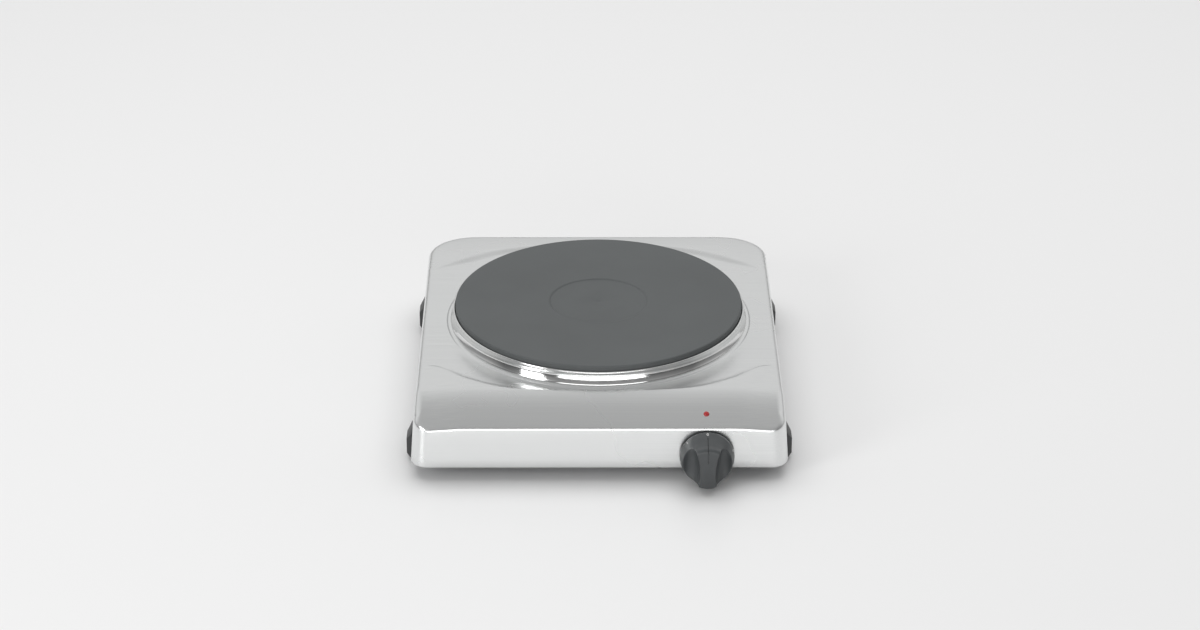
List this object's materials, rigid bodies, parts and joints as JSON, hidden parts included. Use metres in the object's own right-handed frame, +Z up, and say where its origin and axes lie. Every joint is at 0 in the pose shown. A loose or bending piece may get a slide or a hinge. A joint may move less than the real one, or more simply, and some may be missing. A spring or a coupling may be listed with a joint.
{
  "type": "hot plate burner",
  "caption": "Portable electric hot plate: cast iron disc in a brushed steel housing, turning control knob, red pilot lamp, rear cable gland.",
  "frame": {"origin": "middle of the overall box, on the surface the feet stand on", "axes": "+Z up, +Y from the knob to the cable entry, +X to the right seen from the knob"},
  "size_m": [0.286, 0.348, 0.071],
  "materials": {
    "housing_steel": "brushed stainless steel, grain across the width",
    "ring_steel": "polished stainless steel",
    "cast_iron": "matt grey-black heat-cured coating on cast iron",
    "black_plastic": "satin black heat-proof plastic",
    "black_rubber": "soft matt rubber",
    "zinc_steel": "zinc-plated sheet and fasteners",
    "heater_wire": "oxidised resistance wire",
    "compound": "fired magnesia filling",
    "white_ceramic": "unglazed steatite",
    "red_lens": "clear red plastic",
    "lamp_glass": "neon lamp glass",
    "brass_tabs": "bare brass",
    "beige_moulding": "phenolic moulding"
  },
  "bodies": {
    "base": {"base_plate": "zinc_steel", "cable_gland": "black_plastic", "cast_iron_plate": "cast_iron", "centre_stud": "zinc_steel", "contact_blade": "brass_tabs", "earth_nut": "zinc_steel", "earth_screw": "zinc_steel", "foot_front_left": "black_plastic", "foot_front_right": "black_plastic", "foot_pads": "black_rubber", "foot_rear_left": "black_plastic", "foot_rear_right": "black_plastic", "foot_screws": "zinc_steel", "gland_nut": "black_plastic", "heating_coils": "heater_wire", "hold_down_bar": "zinc_steel", "housing": "housing_steel", "insulating_compound": "compound", "lamp_lens": "red_lens", "lamp_nut": "black_plastic", "pilot_lamp": "lamp_glass", "plate_cover": "zinc_steel", "plate_terminal_ceramic": "white_ceramic", "plate_terminal_pins": "brass_tabs", "regulator_bracket": "zinc_steel", "regulator_case": "beige_moulding", "regulator_cover": "beige_moulding", "regulator_screws": "zinc_steel", "regulator_tabs": "brass_tabs", "spill_ring": "ring_steel", "stud_nut": "zinc_steel", "stud_spacer": "zinc_steel", "stud_washer": "zinc_steel", "terminal_block": "white_ceramic", "terminal_screws": "brass_tabs", "thermal_cutout": "beige_moulding"},
    "control_knob": {"knob": "black_plastic", "knob_clip": "zinc_steel", "regulator_shaft": "zinc_steel", "regulator_cam": "beige_moulding"}
  },
  "joints": [
    {"name": "knob_turn", "type": "hinge", "parent": "base", "child": "control_knob", "pos_m": [0.0785, -0.15, 0.0212], "axis": [0, 1, 0], "range_deg": [0, 290]}
  ]
}
